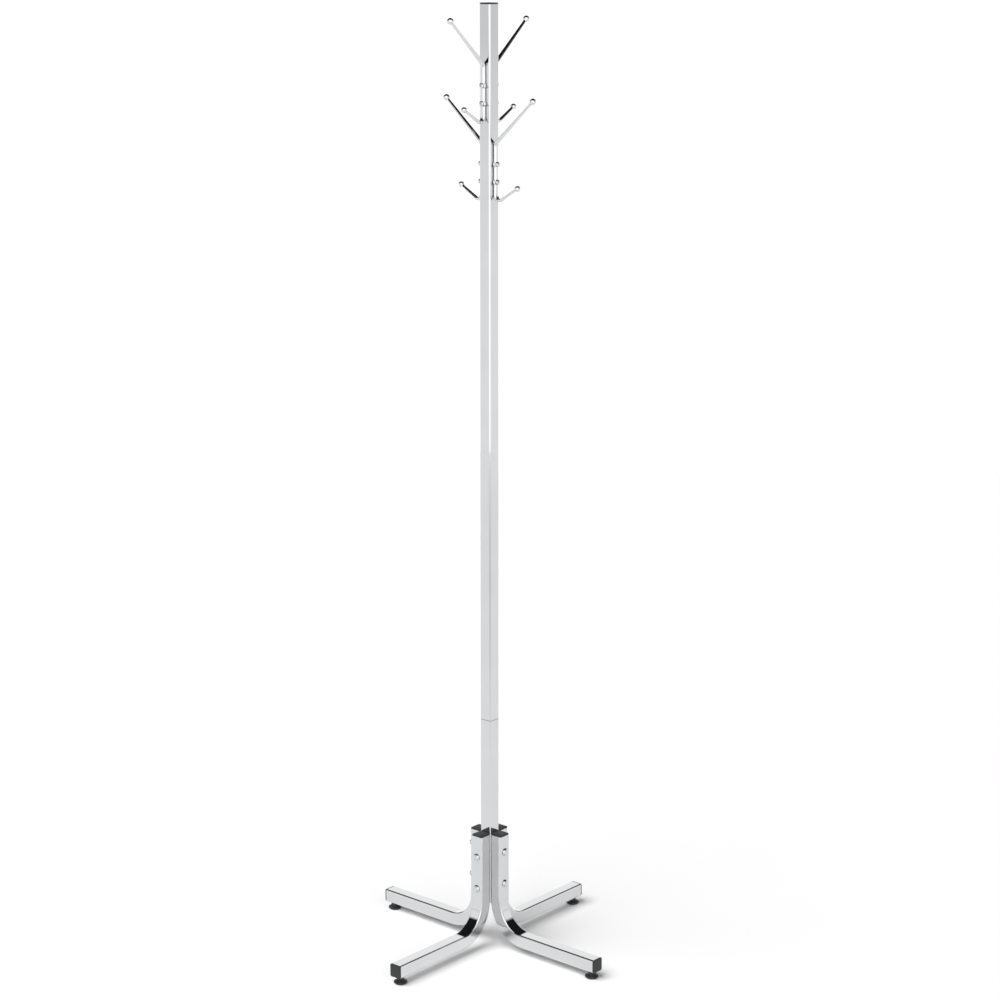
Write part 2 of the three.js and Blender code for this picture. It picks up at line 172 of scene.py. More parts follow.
def chrome(name, tints, roughness, grain, wave, peel):
    """Bright plate. tints are its two nearest colours and roughness its cleanest and most handled values.
    grain, wave and peel are the depths of its polishing lines, slow unevenness and fine texture."""
    material, nodes, shader = new_material(name)
    shader.inputs["Metallic"].default_value = 1.0
    point = nodes.stretched((1.0, 1.0, 1.0))
    drift = nodes.noise(point, scale=9.0, detail=2.0)
    nodes.join(nodes.ramp(drift, ((0.35, tints[0]), (0.65, tints[1]))), shader.inputs["Base Color"])

    smudges = nodes.noise(point, scale=38.0, detail=5.0, roughness=0.62)
    handled = nodes.spread(smudges, 0.48, 0.72, roughness[0], roughness[1])
    lines = nodes.noise(nodes.stretched((900.0, 900.0, 14.0)), scale=1.0, detail=2.0)
    roughened = nodes.math("ADD", handled, nodes.spread(lines, 0.3, 0.8, 0.0, 0.02))
    nodes.join(roughened, shader.inputs["Roughness"])

    ripples = nodes.noise(nodes.stretched((22.0, 22.0, 7.0)), scale=1.0, detail=1.0)
    slow = nodes.bump(ripples, wave)
    skin = nodes.bump(nodes.noise(point, scale=700.0, detail=2.0), peel, under=slow)
    nodes.join(nodes.bump(lines, grain, under=skin), shader.inputs["Normal"])
    return material


def moulded_plastic():
    """Satin black plastic with a fine spark-eroded texture, a little greyer where it has been handled."""
    material, nodes, shader = new_material("black_plastic")
    point = nodes.stretched((1.0, 1.0, 1.0))
    wear = nodes.noise(point, scale=120.0, detail=4.0, roughness=0.6)
    colours = ((0.35, (0.012, 0.0138, 0.0145)), (0.8, (0.026, 0.029, 0.030)))
    nodes.join(nodes.ramp(wear, colours), shader.inputs["Base Color"])
    nodes.join(nodes.spread(wear, 0.3, 0.7, 0.42, 0.58), shader.inputs["Roughness"])
    texture = nodes.noise(point, scale=2600.0, detail=2.0)
    flow = nodes.bump(nodes.noise(point, scale=90.0, detail=1.0), 0.00008)
    nodes.join(nodes.bump(texture, 0.000035, under=flow), shader.inputs["Normal"])
    shader.inputs["Specular IOR Level"].default_value = 0.42
    return material


def coated_steel(name, colours, roughness, metallic):
    """Plated or blackened steel, mottled by its bath and a little rough."""
    material, nodes, shader = new_material(name)
    shader.inputs["Metallic"].default_value = metallic
    point = nodes.stretched((1.0, 1.0, 1.0))
    bath = nodes.noise(point, scale=260.0, detail=4.0, roughness=0.6)
    nodes.join(nodes.ramp(bath, ((0.35, colours[0]), (0.68, colours[1]))), shader.inputs["Base Color"])
    nodes.join(nodes.spread(bath, 0.3, 0.7, *roughness), shader.inputs["Roughness"])
    nodes.join(nodes.bump(nodes.noise(point, scale=1800.0, detail=2.0), 0.00003), shader.inputs["Normal"])
    return material


MATERIALS = {
    "chrome_tube": chrome(
        "chrome_tube",
        tints=((0.645, 0.655, 0.662), (0.675, 0.683, 0.688)),
        roughness=(0.025, 0.075),
        grain=0.0000012,
        wave=0.00012,
        peel=0.0000015,
    ),
    "cast_chrome": chrome(
        "cast_chrome",
        tints=((0.665, 0.672, 0.677), (0.70, 0.705, 0.71)),
        roughness=(0.03, 0.08),
        grain=0.0,
        wave=0.00006,
        peel=0.0000022,
    ),
    "bright_fastener": chrome(
        "bright_fastener",
        tints=((0.62, 0.63, 0.64), (0.66, 0.67, 0.675)),
        roughness=(0.05, 0.11),
        grain=0.000002,
        wave=0.0,
        peel=0.000004,
    ),
    "black_plastic": moulded_plastic(),
    "black_steel": coated_steel(
        "black_steel", ((0.018, 0.019, 0.02), (0.034, 0.035, 0.036)), (0.36, 0.5), 0.0
    ),
    "zinc_steel": coated_steel("zinc_steel", ((0.42, 0.44, 0.46), (0.58, 0.59, 0.58)), (0.28, 0.42), 1.0),
}

# ---------------------------------------------------------------- mesh tools

DOUBLED = 0.0005 * MM  # points nearer than this are one point


def finished_mesh(name, points, faces, slot):
    """A closed, smooth-shaded mesh, with its doubled points merged and its faces turned outwards."""
    mesh = bpy.data.meshes.new(name)
    mesh.from_pydata(points, [], faces)
    build = bmesh.new()
    build.from_mesh(mesh)
    bmesh.ops.remove_doubles(build, verts=build.verts, dist=DOUBLED)
    bmesh.ops.recalc_face_normals(build, faces=build.faces)
    build.to_mesh(mesh)
    build.free()
    mesh.shade_smooth()
    mesh.materials.append(MATERIALS[slot])
    return mesh


def skin(name, rings, slot, looped=False):
    """A skin over rings of equally many points. A looped skin joins its last ring to its first, and any other
    is filled at both ends."""
    count = len(rings[0])
    points = [point for ring in rings for point in ring]
    faces = []
    for row in range(len(rings) if looped else len(rings) - 1):
        start = row * count
        after = (row + 1) % len(rings) * count
        for i in range(count):
            j = (i + 1) % count
            faces.append((start + i, start + j, after + j, after + i))
    if not looped:
        last = (len(rings) - 1) * count
        faces.append(tuple(reversed(range(count))))
        faces.append(tuple(range(last, last + count)))
    return finished_mesh(name, points, faces, slot)


def spun(name, rows, slot, sides=48, looped=False):
    """A piece round the Z axis from (radius, height) rows. A radius may be a function of the angle."""
    rings = []
    for radius, height in rows:
        ring = []
        for i in range(sides):
            angle = 2 * math.pi * i / sides
            reach = radius(angle) if callable(radius) else radius
            ring.append((reach * math.cos(angle), reach * math.sin(angle), height))
        rings.append(ring)
    return skin(name, rings, slot, looped)


def softened(corners, steps=4, looped=False):
    """Points of a profile whose (across, along, fillet) corners are rounded."""
    points = []
    count = len(corners)
    for i, (across, along, fillet) in enumerate(corners):
        here = Vector((across, along))
        at_end = not looped and i in (0, count - 1)
        if fillet == 0 or at_end:
            points.append(here)
            continue
        before = Vector(corners[i - 1][:2]) - here
        after = Vector(corners[(i + 1) % count][:2]) - here
        start = here + before.normalized() * fillet
        end = here + after.normalized() * fillet
        for step in range(steps + 1):
            t = step / steps
            points.append(start * (1 - t) ** 2 + here * 2 * t * (1 - t) + end * t**2)
    return [tuple(point) for point in points]


POLE = 0.02 * MM  # radius of the smallest ring at the end of a turned piece
CENTRE = 0.05 * MM  # the same, in the middle of a flat face
HOLE_SIDES = 32
OVERCUT = 1.0 * MM  # how far a cutter runs past the faces that it opens
CUT_SHARPNESS = math.radians(50)
SLIVER = 0.004 * MM  # points nearer than this are merged after a cut


def bar_along_x(radius, start, end, height, sides=HOLE_SIDES, turn=0.0):
    """A cutter along X at a height: its radius, length, number of sides and matrix."""
    centre = Matrix.Translation(((start + end) / 2, 0, height))
    matrix = centre @ Matrix.Rotation(math.pi / 2, 4, "Y") @ Matrix.Rotation(turn, 4, "Z")
    return radius, end - start, sides, matrix


def drilled(mesh, bars):
    """A mesh with bars cut out of it."""
    build = bmesh.new()
    for radius, length, sides, matrix in bars:
        bmesh.ops.create_cone(
            build, cap_ends=True, segments=sides, radius1=radius, radius2=radius, depth=length, matrix=matrix
        )
    bmesh.ops.recalc_face_normals(build, faces=build.faces)
    cutter = bpy.data.meshes.new("bars")
    build.to_mesh(cutter)
    build.free()
    return cut_from(mesh, cutter)


def cut_from(mesh, cutter, sharpness=CUT_SHARPNESS):
    """A mesh with another cut out of it. Edges that turn further than sharpness shade sharp."""
    body = bpy.data.objects.new("cut_body", mesh)
    tool = bpy.data.objects.new("cut_tool", cutter)
    for item in (body, tool):
        bpy.context.collection.objects.link(item)
    cut = body.modifiers.new("cut", "BOOLEAN")
    cut.object = tool
    cut.solver = "EXACT"
    cut.use_self = True
    result = bpy.data.meshes.new_from_object(body.evaluated_get(bpy.context.evaluated_depsgraph_get()))
    result.name = mesh.name
    for item in (body, tool):
        bpy.data.objects.remove(item)
    build = bmesh.new()
    build.from_mesh(result)
    bmesh.ops.remove_doubles(build, verts=build.verts, dist=SLIVER)
    bmesh.ops.dissolve_degenerate(build, edges=build.edges, dist=SLIVER)
    bmesh.ops.triangulate(build, faces=[face for face in build.faces if len(face.verts) > 4])
    build.to_mesh(result)
    build.free()
    result.set_sharp_from_angle(angle=sharpness)
    return result


FLAT_FACES_RULE = 100  # the modifier's strongest bias towards big faces


def place(node, mesh, matrix=Matrix.Identity(4), weighted=True):
    """Shows a mesh in place of a CAD node, riding on that node's body."""
    piece = bpy.data.objects.new(f"{node}_fine", mesh)
    bpy.context.collection.objects.link(piece)
    piece.matrix_world = matrix
    if weighted:
        normals = piece.modifiers.new("flat faces shade flat", "WEIGHTED_NORMAL")
        normals.weight = FLAT_FACES_RULE
        normals.keep_sharp = True
    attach(piece, BODY_OF[node])
    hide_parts(node)


def quarter_turned(side):
    """Turns a piece made pointing along +X to face a side."""
    return Matrix.Rotation(SIDES.index(side) * math.pi / 2, 4, "Z")


def middle(node):
    low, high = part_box(node)
    return (low + high) / 2


# ---------------------------------------------------------------- square tube

TUBE_WALL = 1.5 * MM
TUBE_CORNER = 3.0 * MM
CORNER_STEPS = 8
CUT_EDGE = 0.25 * MM  # the broken edge of a cut tube end

Station = namedtuple("Station", "x z heading")


def rounded_square(width, corner):
    """The outline of a square with round corners, as (u, v) pairs."""
    reach = width / 2 - corner
    outline = []
    for quarter, (u, v) in enumerate(((1, 1), (-1, 1), (-1, -1), (1, -1))):
        for step in range(CORNER_STEPS + 1):
            angle = (quarter + step / CORNER_STEPS) * math.pi / 2
            outline.append((u * reach + corner * math.cos(angle), v * reach + corner * math.sin(angle)))
    return outline


def ring_at(station, outline):
    """An outline of (in-plane, sideways) pairs stood across a path in the XZ plane."""
    across = Vector((-math.sin(station.heading), 0, math.cos(station.heading)))
    centre = Vector((station.x, 0, station.z))
    return [centre + across * u + Vector((0, v, 0)) for u, v in outline]


def moved_on(station, distance):
    x = station.x + math.cos(station.heading) * distance
    z = station.z + math.sin(station.heading) * distance
    return Station(x, z, station.heading)


def square_tube(name, stations, width, slot):
    """An open square tube along stations, with a wall and broken edges at its cut ends."""

    def ring(station, inset):
        return ring_at(station, rounded_square(width - 2 * inset, TUBE_CORNER - inset))

    first, last = stations[0], stations[-1]
    walls = [moved_on(first, CUT_EDGE), *stations[1:-1], moved_on(last, -CUT_EDGE)]
    rings = [ring(first, CUT_EDGE)]
    rings += [ring(station, 0.0) for station in walls]
    rings += [ring(last, CUT_EDGE), ring(last, TUBE_WALL - CUT_EDGE)]
    rings += [ring(station, TUBE_WALL) for station in reversed(walls)]
    rings += [ring(first, TUBE_WALL - CUT_EDGE)]
    return skin(name, rings, slot, looped=True)


def bend(centre, radius, start, end, steps):
    """Stations round a bend in the XZ plane, between two headings."""
    reach = math.copysign(radius, end - start)
    stations = []
    for step in range(steps + 1):
        heading = start + (end - start) * step / steps
        x = centre[0] + reach * math.sin(heading)
        z = centre[1] - reach * math.cos(heading)
        stations.append(Station(x, z, heading))
    return stations


def make_posts():
    """The post's two lengths, drilled for the legs' bolts and for the hooks' screws."""
    fasteners = {
        "lower_post": (BOLT_SHANK + BOLT_ROOM, "{}_leg_{}_bolt"),
        "upper_post": (SCREW_SHANK + SCREW_BITE, "{}_hook_{}_screw"),
    }
    for node, (radius, names) in fasteners.items():
        low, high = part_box(node)
        bars = []
        for side in BOLTED_FROM:
            for row in ROWS:
                height = middle(names.format(side, row)).z
                *size, matrix = bar_along_x(radius, low.x - OVERCUT, high.x + OVERCUT, height)
                bars.append((*size, quarter_turned(side) @ matrix))
        ends = [Station(0.0, low.z, math.pi / 2), Station(0.0, high.z, math.pi / 2)]
        place(node, drilled(square_tube(node, ends, high.x - low.x, "chrome_tube"), bars))


LEG_BEND = 63.5 * MM
LEG_BEND_STEPS = 32
GLIDE_HOLE = 5.7 * MM  # radius


def leg_stations():
    """The right leg's centreline: down beside the post, round the bend and out along the floor."""
    low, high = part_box("right_leg")
    half = (high.y - low.y) / 2
    axis = low.x + half
    level = low.z + half
    curve = bend((axis + LEG_BEND, level + LEG_BEND), LEG_BEND, -math.pi / 2, 0.0, LEG_BEND_STEPS)
    return [Station(axis, high.z, -math.pi / 2), *curve, Station(high.x, level, 0.0)], 2 * half


def leg_mesh(side):
    """A leg, drilled for its bolts and its glide. The right and front legs take the bolts' square necks."""
    stations, width = leg_stations()
    low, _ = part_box("right_leg")
    far = low.x + width
    bolted_from = BOLTED_FROM[SIDES.index(side) % 2]
    bars = []
    for row in ROWS:
        height = middle(f"{bolted_from}_leg_{row}_bolt").z
        bars.append(bar_along_x(BOLT_SHANK + BOLT_ROOM, low.x - OVERCUT, far + OVERCUT, height))
        if side == bolted_from:
            corner = (BOLT_NECK_HALF + BOLT_ROOM) * math.sqrt(2)
            inner = far - TUBE_WALL - OVERCUT
            bars.append(bar_along_x(corner, inner, far + OVERCUT, height, sides=4, turn=math.pi / 4))
    glide_hole = Matrix.Translation((middle("right_glide_pad").x, 0, low.z + TUBE_WALL / 2))
    bars.append((GLIDE_HOLE, TUBE_WALL + 2 * OVERCUT, HOLE_SIDES, glide_hole))
    return drilled(square_tube("leg", stations, width, "chrome_tube"), bars)


def make_legs():
    for side in SIDES:
        place(f"{side}_leg", leg_mesh(side), quarter_turned(side))


# ---------------------------------------------------------------- plugs

PLUG_HEAD = 2.6 * MM
PLUG_SKIRT_WALL = 1.5 * MM
PLUG_FIT = 0.3 * MM  # between the skirt and the tube
PLUG_FLOOR = 0.2 * MM  # from the head's underside down to the floor of its hollow
PLUG_CROWN = 0.35 * MM
PLUG_SETBACK = 0.15 * MM  # the head is this much smaller than the tube all round
ALL_ROUND = 0.999  # the largest share of a square's half width that its corners may take


def plug_mesh(name, width, depth):
    """A tube plug: a crowned head with soft edges, over a hollow skirt. The head's underside is at z = 0."""
    head = width / 2 - PLUG_SETBACK
    skirt = width / 2 - TUBE_WALL - PLUG_FIT
    inside = skirt - PLUG_SKIRT_WALL
    profile = softened(
        [
            (CENTRE, -PLUG_FLOOR, 0),
            (inside, -PLUG_FLOOR, 0.5 * MM),
            (inside, -depth, 0.3 * MM),
            (skirt, -depth, 0.5 * MM),
            (skirt, 0.0, 0.2 * MM),
            (head, 0.0, 0.3 * MM),
            (head, PLUG_HEAD - PLUG_CROWN, 0.9 * MM),
            (head * 0.45, PLUG_HEAD - PLUG_CROWN * 0.2, 2.0 * MM),
            (CENTRE, PLUG_HEAD, 0),
        ]
    )
    rings = []
    for half, height in profile:
        corner = min(TUBE_CORNER, half * ALL_ROUND)
        rings.append([(u, v, height) for u, v in rounded_square(2 * half, corner)])
    return skin(name, rings, "black_plastic")


def make_plugs():
    low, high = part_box("post_top_plug")
    width = high.x - low.x
    depth = high.z - low.z - PLUG_HEAD
    post_plug = plug_mesh("post_plug", width, depth)
    place("post_top_plug", post_plug, Matrix.Translation((0, 0, high.z - PLUG_HEAD)))

    low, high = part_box("right_leg_top_plug")
    top_plug = plug_mesh("leg_top_plug", width, high.z - low.z - PLUG_HEAD)
    top_place = Matrix.Translation(((low.x + high.x) / 2, 0, high.z - PLUG_HEAD))

    low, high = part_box("right_leg_end_plug")
    end_plug = plug_mesh("leg_end_plug", width, high.x - low.x - PLUG_HEAD)
    outwards = Matrix.Rotation(math.pi / 2, 4, "Y")
    end_place = Matrix.Translation((high.x - PLUG_HEAD, 0, (low.z + high.z) / 2)) @ outwards
    for side in SIDES:
        place(f"{side}_leg_top_plug", top_plug, quarter_turned(side) @ top_place)
        place(f"{side}_leg_end_plug", end_plug, quarter_turned(side) @ end_place)


# ---------------------------------------------------------------- base fasteners

BOLT_SHANK = 3.1 * MM
BOLT_ROOM = 0.4 * MM  # between a bolt and its hole
BOLT_HEAD = 7.2 * MM
BOLT_HEAD_HEIGHT = 3.9 * MM
BOLT_HEAD_RIM = 0.7 * MM
BOLT_HEAD_EDGE = 0.3 * MM
BOLT_CHAMFER = 0.6 * MM  # at the tip
BOLT_NECK_HALF = 3.1 * MM
BOLT_NECK_CORNER = BOLT_NECK_HALF * 1.32
BOLT_NECK_DEPTH = 3 * MM
NUT_FLATS = 11.1 * MM
NUT_HEX = 5.2 * MM
NUT_CHAMFER = 0.7 * MM
NUT_COLLAR = 0.3 * MM  # between the hexagon and the dome
NUT_COLLAR_TAPER = 0.1 * MM
NUT_DOME = 5.0 * MM
NUT_DOME_HEIGHT = 4.3 * MM
NUT_BORE_END = 2.5 * MM  # how far the blind bore runs past the hexagon
NUT_ROOM = 0.3 * MM  # between a bolt and its nut or washer
WASHER_EDGE = 0.25 * MM
HEX_CHAMFER_ROWS = 4
HEX_FACE = 0.97  # size of the round face that a chamfer leaves, to the width across flats
NEAR_POLE = 0.995  # share of a quarter turn at which a dome stops


def dome(radius, height, base, steps=12):
    """Rows of a round dome, from its rim to just short of its pole."""
    rows = []
    for step in range(steps + 1):
        angle = math.pi / 2 * min(step / steps, NEAR_POLE)
        rows.append((radius * math.cos(angle), base + height * math.sin(angle)))
    return rows


def flat_sided(sides, half, limit):
    """The radius of a flat-sided bar as a function of the angle, turned down to a limit."""

    def radius(angle):
        step = 2 * math.pi / sides
        from_flat = (angle + step / 2) % step - step / 2
        return min(half / math.cos(from_flat), limit)

    return radius


def hex_rows(flats, low, high, chamfer):
    """Rows of a hexagon with its corners turned down at both ends."""
    half = flats / 2
    corner = half / math.cos(math.pi / 6)
    face = half * HEX_FACE
    rows = []
    for step in range(HEX_CHAMFER_ROWS + 1):
        t = step / HEX_CHAMFER_ROWS
        limit = face + (corner - face) * math.sqrt(t)
        rows.append((flat_sided(6, half, limit), low + chamfer * t))
    for radius, height in reversed(rows[:]):
        rows.append((radius, high - (height - low)))
    return rows


def bolt_mesh(length):
    """A dome-headed bolt with a square neck. The underside of its head is at z = 0 and it points along -Z."""
    square = flat_sided(4, BOLT_NECK_HALF, BOLT_NECK_CORNER)
    tip = BOLT_SHANK - BOLT_CHAMFER
    rows = [(POLE, -length), (tip, -length), (BOLT_SHANK, -length + BOLT_CHAMFER)]
    rows += [(BOLT_SHANK, -BOLT_NECK_DEPTH), (square, -BOLT_NECK_DEPTH), (square, 0.0)]
    underside = [(BOLT_NECK_HALF, 0.0, 0), (BOLT_HEAD, 0.0, BOLT_HEAD_EDGE), (BOLT_HEAD, BOLT_HEAD_RIM, 0)]
    rows += softened(underside)
    rows += dome(BOLT_HEAD, BOLT_HEAD_HEIGHT - BOLT_HEAD_RIM, BOLT_HEAD_RIM)
    return spun("leg_bolt", rows, "bright_fastener")


def cap_nut_mesh():
    """A cap nut with its seat at z = 0, pointing along +Z."""
    bore = BOLT_SHANK + NUT_ROOM
    rows = [(POLE, NUT_HEX + NUT_BORE_END), (bore, NUT_HEX + NUT_BORE_END), (bore, 0.0)]
    rows += hex_rows(NUT_FLATS, 0.0, NUT_HEX, NUT_CHAMFER)
    rows += [(NUT_DOME + NUT_COLLAR_TAPER, NUT_HEX), (NUT_DOME, NUT_HEX + NUT_COLLAR)]
    rows += dome(NUT_DOME, NUT_DOME_HEIGHT, NUT_HEX + NUT_COLLAR)
    return spun("cap_nut", rows, "bright_fastener", sides=72)


def washer_mesh(thickness, radius):
    inner = BOLT_SHANK + NUT_ROOM
    outline = ((inner, 0), (radius, 0), (radius, thickness), (inner, thickness))
    corners = [(across, along, WASHER_EDGE) for across, along in outline]
    return spun("washer", softened(corners, looped=True), "bright_fastener", looped=True)


def make_base_fasteners():
    bolt_low, bolt_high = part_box("right_leg_lower_bolt")
    seat = bolt_high.x - BOLT_HEAD_HEIGHT
    bolt = bolt_mesh(seat - bolt_low.x)
    washer_low, washer_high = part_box("right_leg_lower_washer")
    washer = washer_mesh(washer_high.x - washer_low.x, (washer_high.z - washer_low.z) / 2)
    nut = cap_nut_mesh()
    nut_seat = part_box("right_leg_lower_cap_nut")[1].x
    outwards = Matrix.Rotation(math.pi / 2, 4, "Y")
    backwards = Matrix.Rotation(-math.pi / 2, 4, "Y")
    stack = (
        ("bolt", bolt, seat, outwards),
        ("washer", washer, washer_high.x, backwards),
        ("cap_nut", nut, nut_seat, backwards),
    )
    for side in BOLTED_FROM:
        for row in ROWS:
            height = middle(f"{side}_leg_{row}_bolt").z
            for kind, mesh, x, facing in stack:
                matrix = quarter_turned(side) @ Matrix.Translation((x, 0, height)) @ facing
                place(f"{side}_leg_{row}_{kind}", mesh, matrix)


# ---------------------------------------------------------------- glides

PAD_RADIUS = 12.6 * MM
PAD_HEIGHT = 7.2 * MM
SOCKET_FLOOR = 2.6 * MM
SOCKET_ROOM = 0.5 * MM  # between the stud's foot and the pad
STUD_RADIUS = 3.9 * MM
STUD_CHAMFER = 0.3 * MM
STUD_HEX = 12.0 * MM
STUD_HEX_LOW = 7.5 * MM
STUD_HEX_HIGH = 11.5 * MM
STUD_HEX_CHAMFER = 0.6 * MM
STUD_TOP_CHAMFER = 0.4 * MM
THREAD_PITCH = 1.25 * MM
THREAD_DEPTH = 0.55 * MM
THREAD_SHARP = 1.25  # height of the ridge before its crest is cut flat, to the thread's depth
THREAD_RUNOUT = 1.0 * MM
THREAD_STEPS = 8  # to a turn
INSERT_ROOM = 0.16 * MM  # between the thread's crests and the insert
INSERT_PILOT = 5.3 * MM  # radius of the part in the leg's wall
INSERT_RADIUS = 6.2 * MM
INSERT_SHOULDER = 1.8 * MM  # height of the wider part above the leg's underside
INSERT_EDGE = 0.2 * MM


def pad_mesh():
    """A glide's foot, standing on z = 0, with an open socket for the stud."""
    socket = STUD_RADIUS + SOCKET_ROOM
    corners = [
        (CENTRE, 0.0, 0),
        (9.9 * MM, 0.0, 0.5 * MM),
        (PAD_RADIUS, 2.6 * MM, 0.8 * MM),
        (PAD_RADIUS, 4.4 * MM, 0.8 * MM),
        (10.6 * MM, 5.5 * MM, 0.9 * MM),
        (8.1 * MM, 5.9 * MM, 0.5 * MM),
        (7.4 * MM, PAD_HEIGHT, 0.4 * MM),
        (socket, PAD_HEIGHT, 0.3 * MM),
        (socket, SOCKET_FLOOR, 0.3 * MM),
        (CENTRE, SOCKET_FLOOR, 0),
    ]
    return spun("glide_pad", softened(corners), "black_plastic", sides=64)


def stud_mesh(low, high):
    """A glide's stud: a plain foot, a hexagon to turn it by, and a real thread above."""
    root = STUD_RADIUS - THREAD_DEPTH
    thread_low = STUD_HEX_HIGH + THREAD_RUNOUT / 2
    rows = [(CENTRE, low), (STUD_RADIUS - STUD_CHAMFER, low), (STUD_RADIUS, low + STUD_CHAMFER)]
    rows += [(STUD_RADIUS, STUD_HEX_LOW)]
    rows += hex_rows(STUD_HEX, STUD_HEX_LOW, STUD_HEX_HIGH, STUD_HEX_CHAMFER)
    rows += [(root, STUD_HEX_HIGH), (root, thread_low)]
    threaded = high - STUD_HEX_HIGH - THREAD_RUNOUT
    count = round(threaded / THREAD_PITCH * THREAD_STEPS)
    for step in range(count + 1):
        height = thread_low + threaded * step / count
        ease = min(1.0, step / THREAD_STEPS, (count - step) / THREAD_STEPS)

        def radius(angle, height=height, ease=ease):
            turns = height / THREAD_PITCH - angle / (2 * math.pi)
            ridge = 1 - abs(2 * (turns % 1) - 1)
            return root + THREAD_DEPTH * ease * min(1.0, THREAD_SHARP * ridge)

        rows.append((radius, height))
    rows += [(root - STUD_TOP_CHAMFER, high), (CENTRE, high)]
    return spun("glide_stud", rows, "black_steel", sides=36)


def insert_mesh(low, high):
    """The threaded insert in a leg, between two heights. Its own thread isn't cut."""
    bore = STUD_RADIUS + INSERT_ROOM
    shoulder = low + INSERT_SHOULDER
    corners = [
        (bore, low, INSERT_EDGE),
        (INSERT_PILOT, low, INSERT_EDGE),
        (INSERT_PILOT, shoulder, 0),
        (INSERT_RADIUS, shoulder, INSERT_EDGE),
        (INSERT_RADIUS, high, INSERT_EDGE),
        (bore, high, INSERT_EDGE),
    ]
    return spun("glide_insert", softened(corners, looped=True), "zinc_steel", looped=True)


def make_glides():
    stud_low, stud_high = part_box("right_glide_stud")
    insert_low, insert_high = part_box("right_glide_insert")
    axis = middle("right_glide_pad").x
    pieces = {
        "pad": pad_mesh(),
        "stud": stud_mesh(stud_low.z, stud_high.z),
        "insert": insert_mesh(insert_low.z, insert_high.z),
    }
    for side in SIDES:
        for kind, mesh in pieces.items():
            place(f"{side}_glide_{kind}", mesh, quarter_turned(side) @ Matrix.Translation((axis, 0, 0)))


# ---------------------------------------------------------------- hooks

Arm = namedtuple("Arm", "side reach rise slope bend ball")
UPPER_ARM = Arm(1, 102 * MM, 129.9 * MM, math.radians(42), 14 * MM, 6.0 * MM)
LOWER_ARM = Arm(-1, 66.8 * MM, -24.5 * MM, math.radians(31), 9 * MM, 5.4 * MM)
BAR_HALF_WIDTH = 5.0 * MM
BAR_HALF_THICKNESS = 3.2 * MM
TIP_HALF_WIDTH = 3.2 * MM
TIP_HALF_THICKNESS = 2.1 * MM
BAR_STANDOFF = 0.3 * MM
BOSS_RADIUS = 6.5 * MM
BOSS_SQUARENESS = 3.4
BAR_SQUARENESS = 2.3
ARM_SQUARENESS = 2.0
BALL_BLEND = 1.2 * MM  # the width over which an arm flows into its ball
BOSS_BLEND = 0.8 * MM  # and the bar into a boss
ON_ARM = 0.1 * MM  # a station nearer than this to an arm's line is on its straight stretch
ON_BAR = 0.05 * MM  # and this near the bar's axis it is on the bar
HOOK_STEP = 0.7 * MM
HOOK_SIDES = 28


def blended_max(a, b, width):
    """The larger of two lengths, with a smooth change from one to the other."""
    gap = max(width - abs(a - b), 0.0) / width
    return max(a, b) + gap * gap * width / 4


def arm_bend(arm, axis):
    """Where an arm's bend is centred, and the turn that it makes."""
    turn = math.pi / 2 - arm.side * arm.slope
    meeting = arm.rise - (arm.reach - axis) * math.tan(arm.slope)
    return (axis + arm.bend, meeting - arm.side * arm.bend * math.tan(turn / 2)), turn


def hook_path(axis):
    """Evenly spaced stations from the lower arm's tip, down round its bend, up the bar and out to the upper
    arm's tip. Heights are from midway between the screws."""
    up = math.pi / 2
    lower_centre, lower_turn = arm_bend(LOWER_ARM, axis)
    upper_centre, upper_turn = arm_bend(UPPER_ARM, axis)
    inwards = math.pi + LOWER_ARM.slope
    lower_steps = math.ceil(LOWER_ARM.bend * lower_turn / HOOK_STEP)
    upper_steps = math.ceil(UPPER_ARM.bend * upper_turn / HOOK_STEP)
    corners = [
        moved_on(Station(LOWER_ARM.reach, LOWER_ARM.rise, inwards), -LOWER_ARM.ball),
        *bend(lower_centre, LOWER_ARM.bend, inwards, up, lower_steps),
        *bend(upper_centre, UPPER_ARM.bend, up, UPPER_ARM.slope, upper_steps),
        moved_on(Station(UPPER_ARM.reach, UPPER_ARM.rise, UPPER_ARM.slope), UPPER_ARM.ball),
    ]
    path = []
    for here, after in zip(corners, corners[1:]):
        length = math.hypot(after.x - here.x, after.z - here.z)
        steps = max(1, round(length / HOOK_STEP))
        for step in range(steps):
            t = step / steps
            x = here.x + (after.x - here.x) * t
            z = here.z + (after.z - here.z) * t
            path.append(Station(x, z, here.heading))
    return path + [corners[-1]]


